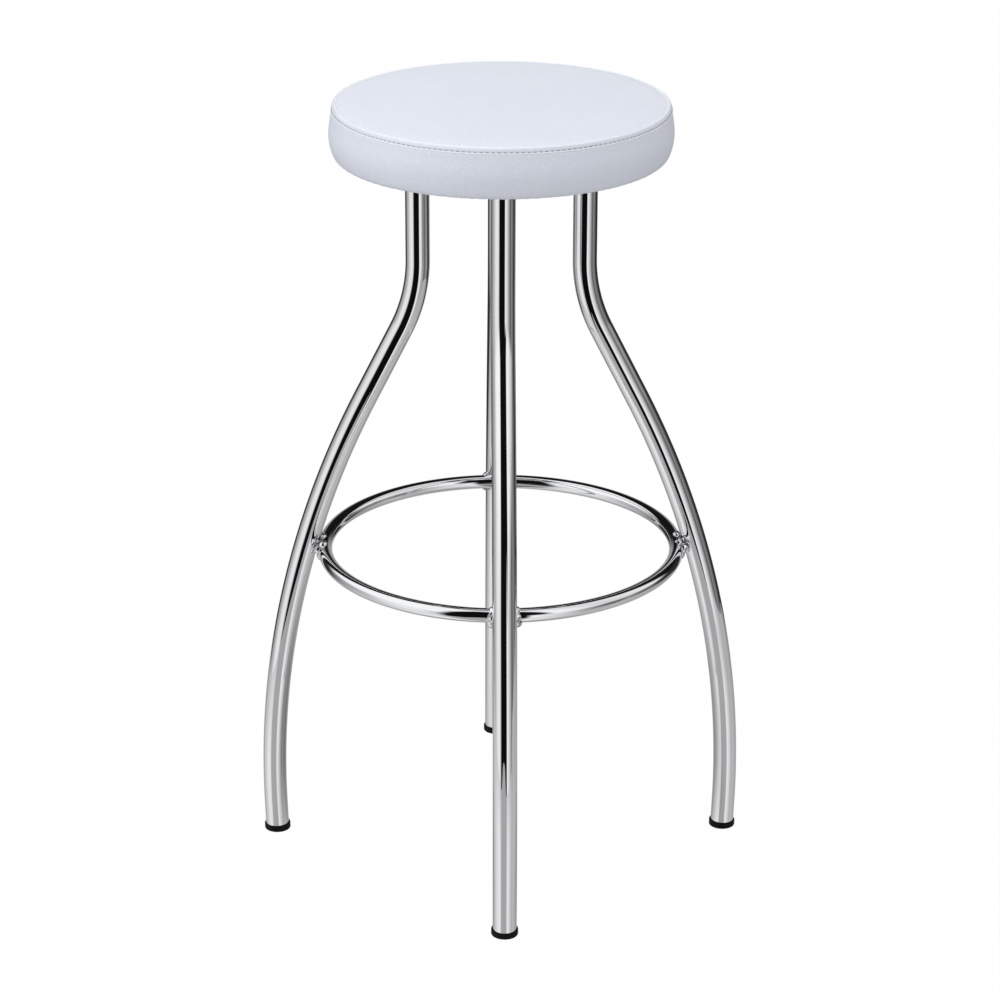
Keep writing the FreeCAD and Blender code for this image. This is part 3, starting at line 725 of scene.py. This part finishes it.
def plywood():
    """Birch plywood: grain across the faces, plies on the edge."""
    made, tree, shader = material("plywood")
    grain = noise(tree, object_point(tree, (1, 14, 60)), 22.0, 5.0, 0.6)
    plies = noise(tree, object_point(tree, (0.5, 0.5, 55)), 14.0, 0.0)
    face = blend_colours(tree, grain, (0.36, 0.235, 0.12), (0.60, 0.44, 0.26))
    glue_lines = between(tree, plies, 0.42, 0.58, 0.0, 0.6)
    feed(tree, blend_colours(tree, glue_lines, face, (0.25, 0.15, 0.075)), shader, "Base Color")
    feed(tree, between(tree, grain, 0.3, 0.7, 0.55, 0.75), shader, "Roughness")
    feed(tree, bump(tree, grain, 0.3, 0.0003), shader, "Normal")
    return made


def dust_cloth():
    """Thin black spunbond cloth with its pressed dots."""
    made, tree, shader = material("dust_cloth")
    point = object_point(tree)
    dots = cells(tree, point, 700.0)
    fibres = noise(tree, point, 1800.0, 4.0, 0.7)
    black = blend_colours(tree, fibres, (0.006, 0.006, 0.007), (0.030, 0.030, 0.032))
    feed(tree, black, shader, "Base Color")
    shader.inputs["Roughness"].default_value = 0.9
    shader.inputs["Sheen Weight"].default_value = 0.15
    pressed = bump(tree, between(tree, dots, 0.2, 0.45, 0.0, 1.0), 0.5, 0.0002)
    feed(tree, bump(tree, fibres, 0.3, 0.0001, pressed), shader, "Normal")
    return made


def zinc_steel():
    """Rolled steel with bright zinc, streaked by the roll and mottled by the bath."""
    made, tree, shader = material("zinc_steel")
    point = object_point(tree)
    streak = noise(tree, object_point(tree, (1, 40, 1)), 60.0, 3.0)
    mottle = noise(tree, point, 75.0, 3.0)
    zinc = blend_colours(tree, mottle, (0.50, 0.51, 0.50), (0.66, 0.67, 0.68))
    feed(tree, zinc, shader, "Base Color")
    shader.inputs["Metallic"].default_value = 1.0
    feed(tree, between(tree, streak, 0.3, 0.7, 0.30, 0.46), shader, "Roughness")
    feed(tree, bump(tree, streak, 0.15, 0.0001), shader, "Normal")
    return made


def bearing_steel():
    """Ground bearing steel with a film of grease."""
    made, tree, shader = material("bearing_steel")
    point = object_point(tree)
    film = noise(tree, point, 500.0, 3.0)
    steel = blend_colours(tree, film, (0.55, 0.54, 0.52), (0.78, 0.78, 0.78))
    feed(tree, steel, shader, "Base Color")
    shader.inputs["Metallic"].default_value = 1.0
    feed(tree, between(tree, film, 0.3, 0.7, 0.08, 0.22), shader, "Roughness")
    return made


def cage_nylon():
    """Natural nylon, slightly waxy."""
    made, tree, shader = material("cage_nylon")
    point = object_point(tree)
    cloud = noise(tree, point, 120.0, 3.0)
    milky = blend_colours(tree, cloud, (0.60, 0.58, 0.50), (0.74, 0.72, 0.64))
    feed(tree, milky, shader, "Base Color")
    shader.inputs["Roughness"].default_value = 0.42
    feed(tree, bump(tree, cloud, 0.2, 0.0002), shader, "Normal")
    return made


def finish_in(piece, made):
    piece.data.materials.clear()
    piece.data.materials.append(made)


# Studio

def ramp(tree, factor, stops):
    """A colour ramp of grey levels at azimuths in degrees."""
    made = node(tree, "ShaderNodeValToRGB", {"Fac": factor})
    elements = made.color_ramp.elements
    while len(elements) > 1:
        elements.remove(elements[-1])
    for k, (degrees, level) in enumerate(stops):
        place = degrees / 360 + 0.5
        element = elements[0] if k == 0 else elements.new(place)
        element.position = place
        element.color = (level, level, level * 1.01, 1)
    return made.outputs["Color"]


# Grey levels round the room, at azimuths in degrees from the front: a dark room in front of the
# stool, white cards left and right of it, and dark corners behind. The chrome sees the low cards
# in level and falling directions, and the high cards in rising ones.
LOW_CARDS = [
    (-180, 0.45), (-168, 0.40), (-158, 0.02), (-130, 0.03), (-121, 0.24), (-113, 0.37), (-103, 0.44),
    (-90, 0.54), (-76, 0.80), (-62, 0.87), (-50, 0.86), (-41, 0.66), (-34, 0.004), (14, 0.004),
    (18, 0.95), (26, 0.84), (37, 0.70), (47, 0.50), (58, 0.26), (67, 0.12), (75, 0.15), (83, 0.28),
    (91, 0.17), (103, 0.15), (111, 0.03), (150, 0.02), (162, 0.40), (180, 0.45),
]
HIGH_CARDS = [
    (-180, 0.008), (-136, 0.006), (-128, 1.0), (-40, 1.0), (-33, 0.004), (26, 0.004), (33, 1.0),
    (50, 0.90), (70, 0.70), (100, 0.85), (114, 0.90), (124, 0.006), (180, 0.008),
]


def make_world():
    """Plain soft light, a white backdrop for the camera, and the cards for the chrome."""
    world = bpy.data.worlds.new("studio")
    bpy.context.scene.world = world
    world.use_nodes = True
    tree = world.node_tree
    tree.nodes.clear()
    direction = node(tree, "ShaderNodeTexCoord").outputs["Generated"]
    split = node(tree, "ShaderNodeSeparateXYZ", {"Vector": direction})
    toward = maths(tree, "MULTIPLY", split.outputs["Y"], -1.0)
    azimuth = maths(tree, "ARCTAN2", split.outputs["X"], toward)
    place = maths(tree, "ADD", maths(tree, "DIVIDE", azimuth, math.tau), 0.5)
    rise = split.outputs["Z"]
    lifted = between(tree, rise, 0.10, 0.30, 0.0, 1.0)
    overhead = between(tree, rise, 0.95, 0.985, 0.0, 1.0)
    low_cards = ramp(tree, place, LOW_CARDS)
    high_cards = ramp(tree, place, HIGH_CARDS)
    cards = blend_colours(tree, lifted, low_cards, high_cards)
    cards = blend_colours(tree, overhead, cards, (0.85, 0.85, 0.86))
    light = between(tree, rise, -0.2, 0.9, 0.64, 1.12)
    path = node(tree, "ShaderNodeLightPath")
    soft = node(tree, "ShaderNodeBackground", {"Color": (0.985, 0.99, 1.0, 1), "Strength": light})
    glossy = node(tree, "ShaderNodeBackground", {"Color": cards, "Strength": 1.0})
    white = node(tree, "ShaderNodeBackground", {"Color": (1, 1, 1, 1), "Strength": 1.0})
    mirrored = path.outputs["Is Glossy Ray"]
    first = node(tree, "ShaderNodeMixShader",
                 {0: mirrored, 1: soft.outputs[0], 2: glossy.outputs[0]})
    through = path.outputs["Is Transmission Ray"]
    seen = maths(tree, "MAXIMUM", path.outputs["Is Camera Ray"], through)
    second = node(tree, "ShaderNodeMixShader", {0: seen, 1: first.outputs[0], 2: white.outputs[0]})
    node(tree, "ShaderNodeOutputWorld", {"Surface": second.outputs[0]})


def make_floor():
    """The white floor."""
    bpy.ops.object.select_all(action="DESELECT")
    bpy.ops.mesh.primitive_plane_add(size=30, location=(0, 0, 0))
    floor = bpy.context.active_object
    floor.name = "studio_floor"
    made, tree, shader = material("floor_white")
    shader.inputs["Base Color"].default_value = (0.57, 0.57, 0.58, 1)
    shader.inputs["Roughness"].default_value = 0.9
    path = node(tree, "ShaderNodeLightPath")
    glow = node(tree, "ShaderNodeEmission", {"Color": (1, 1, 1, 1), "Strength": 1.0})
    share = maths(tree, "MULTIPLY", path.outputs["Is Camera Ray"], 0.985)
    mixed = node(tree, "ShaderNodeMixShader", {0: share, 1: shader.outputs[0], 2: glow.outputs[0]})
    tree.links.new(mixed.outputs[0], tree.nodes["Material Output"].inputs["Surface"])
    finish_in(floor, made)
    floor.visible_glossy = False


def sheet_reach(azimuth):
    """How far the pale sheet reaches from the stool, further in front and on the right."""
    front = math.exp(-((azimuth + 8) / 10) ** 4)
    right = ease(azimuth, 45, 62) * (1 - ease(azimuth, 110, 135))
    return 0.84 + 0.45 * front + 0.52 * right


def make_sheet():
    """The pale sheet round the stool that the chrome mirrors, with a painted shadow of the stool in
    its glow.
    """
    bpy.ops.object.select_all(action="DESELECT")
    bpy.ops.mesh.primitive_circle_add(vertices=240, radius=1, fill_type="TRIFAN",
                                      location=(0, 0, -0.0005))
    sheet = bpy.context.active_object
    for vertex in sheet.data.vertices:
        vertex.co *= sheet_reach(math.degrees(math.atan2(vertex.co.x, -vertex.co.y)))
    sheet.name = "studio_sheet"
    made, tree, shader = material("sheet_pale")
    point = node(tree, "ShaderNodeTexCoord").outputs["Object"]
    split = node(tree, "ShaderNodeSeparateXYZ", {"Vector": point})
    behind = between(tree, split.outputs["Y"], 0.1, 0.9, 0.40, 0.16)
    length = node(tree, "ShaderNodeVectorMath", {0: point}, operation="LENGTH").outputs["Value"]
    # The glow fades near the middle, under the stool: a painted shadow of the stool for the chrome
    # to mirror.
    under = between(tree, length, 0.08, 0.26, 0.35, 1.0)
    strength = maths(tree, "MULTIPLY", behind, under)
    glow = node(tree, "ShaderNodeEmission", {"Color": (1, 1, 1, 1), "Strength": strength})
    thin = between(tree, length, 0.45, 0.80, 0.52, 0.32)
    clear = node(tree, "ShaderNodeBsdfTransparent", {"Color": thin})
    both = node(tree, "ShaderNodeAddShader", {0: glow.outputs[0], 1: clear.outputs[0]})
    tree.links.new(both.outputs[0], tree.nodes["Material Output"].inputs["Surface"])
    finish_in(sheet, made)
    sheet.visible_camera = False
    sheet.visible_diffuse = False
    sheet.visible_shadow = False


def make_lamp(name, place, size, power, colour):
    data = bpy.data.lights.new(name, "AREA")
    data.shape = "RECTANGLE"
    data.size, data.size_y = size
    data.energy = power
    data.color = colour
    lamp = bpy.data.objects.new(name, data)
    bpy.context.scene.collection.objects.link(lamp)
    lamp.location = place
    aim = Vector((0, 0, 0.55)) - Vector(place)
    lamp.rotation_euler = aim.to_track_quat("-Z", "Y").to_euler()
    lamp.visible_glossy = False
    lamp.visible_camera = False


def make_camera():
    """The viewing place and lens worked out from the stool's outline."""
    pitch, around, roll = 0.3781, -0.0208, 0.0024
    height, away, focal = 1.6972, 3.3042, 3.36107
    sensor = 36
    data = bpy.data.cameras.new("stool_camera")
    data.lens = sensor * focal
    data.sensor_width = sensor
    data.shift_x = -0.00075
    camera = bpy.data.objects.new("stool_camera", data)
    bpy.context.scene.collection.objects.link(camera)
    camera.location = (away * math.sin(around), -away * math.cos(around), height)
    turn = Matrix.Rotation(around, 3, "Z") @ Matrix.Rotation(math.pi / 2 - pitch, 3, "X")
    camera.rotation_euler = (turn @ Matrix.Rotation(roll, 3, "Z")).to_euler()
    bpy.context.scene.camera = camera


# Build

for extra in ("Cube", "Light", "Camera"):
    if extra in bpy.data.objects:
        bpy.data.objects.remove(bpy.data.objects[extra])

white_vinyl = vinyl()
tube_chrome = chrome("chrome_plate", 0.025, 0.02)
finishes = {
    "plywood": plywood(),
    "zinc_steel": zinc_steel(),
    "bearing_steel": bearing_steel(),
    "cage_nylon": cage_nylon(),
    "chrome_plate": tube_chrome,
    "cap_rubber": rubber(),
}
slots = {
    "seat_board": "plywood",
    "cover_staples": "zinc_steel",
    "tee_nuts": "zinc_steel",
    "seat_screws": "zinc_steel",
    "swivel_top_plate": "zinc_steel",
    "swivel_bottom_plate": "zinc_steel",
    "swivel_kingpin": "zinc_steel",
    "kingpin_washer": "zinc_steel",
    "kingpin_locknut": "zinc_steel",
    "frame_screws": "zinc_steel",
    "frame_washers": "zinc_steel",
    "frame_locknuts": "zinc_steel",
    "swivel_balls": "bearing_steel",
    "ball_cage": "cage_nylon",
    "frame_plate": "chrome_plate",
    "leg_top_welds": "chrome_plate",
    "ring_butt_weld": "chrome_plate",
}
for leg_name in LEGS:
    slots["foot_cap_" + leg_name] = "cap_rubber"
for node_name, slot_name in slots.items():
    finish_in(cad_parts[node_name], finishes[slot_name])

foam_pad = make_foam()
finish_in(foam_pad, foam_cells())
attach(foam_pad, "seat")
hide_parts("seat_foam")

top_cover = make_top_panel(foam_pad)
finish_in(top_cover, white_vinyl)
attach(top_cover, "seat")
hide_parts("seat_top_panel")

side_cover = make_side_band(foam_pad)
finish_in(side_cover, white_vinyl)
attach(side_cover, "seat")
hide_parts("seat_side_band")

topstitch = make_topstitch()
finish_in(topstitch, thread())
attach(topstitch, "seat")

under_cloth = make_dust_cover()
finish_in(under_cloth, dust_cloth())
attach(under_cloth, "seat")
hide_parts("seat_dust_cover")

one_leg = make_leg()
weld_chrome = plated_weld()
for count, (leg_name, degrees) in enumerate(LEGS.items()):
    leg = around_axis(one_leg, "tube_" + leg_name, degrees)
    finish_in(leg, tube_chrome)
    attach(leg, "frame")
    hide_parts("leg_" + leg_name)
    bead = make_ring_weld(20 + count)
    bead.data.transform(Matrix.Rotation(math.radians(degrees), 4, "Z"))
    bead.name = "weld_bead_" + leg_name
    finish_in(bead, weld_chrome)
    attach(bead, "frame")
    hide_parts("ring_weld_" + leg_name)
bpy.data.objects.remove(one_leg)

ring = make_foot_ring()
finish_in(ring, tube_chrome)
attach(ring, "frame")
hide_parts("foot_ring")

make_world()
make_floor()
make_sheet()
make_lamp("top_softbox", (-0.7, -0.5, 2.6), (1.8, 1.8), 12, (1.0, 0.99, 0.98))
make_lamp("left_fill", (-3.0, -1.2, 1.4), (1.6, 1.6), 14, (0.97, 0.98, 1.0))
make_camera()
scene = bpy.context.scene
scene.view_settings.view_transform = "Standard"
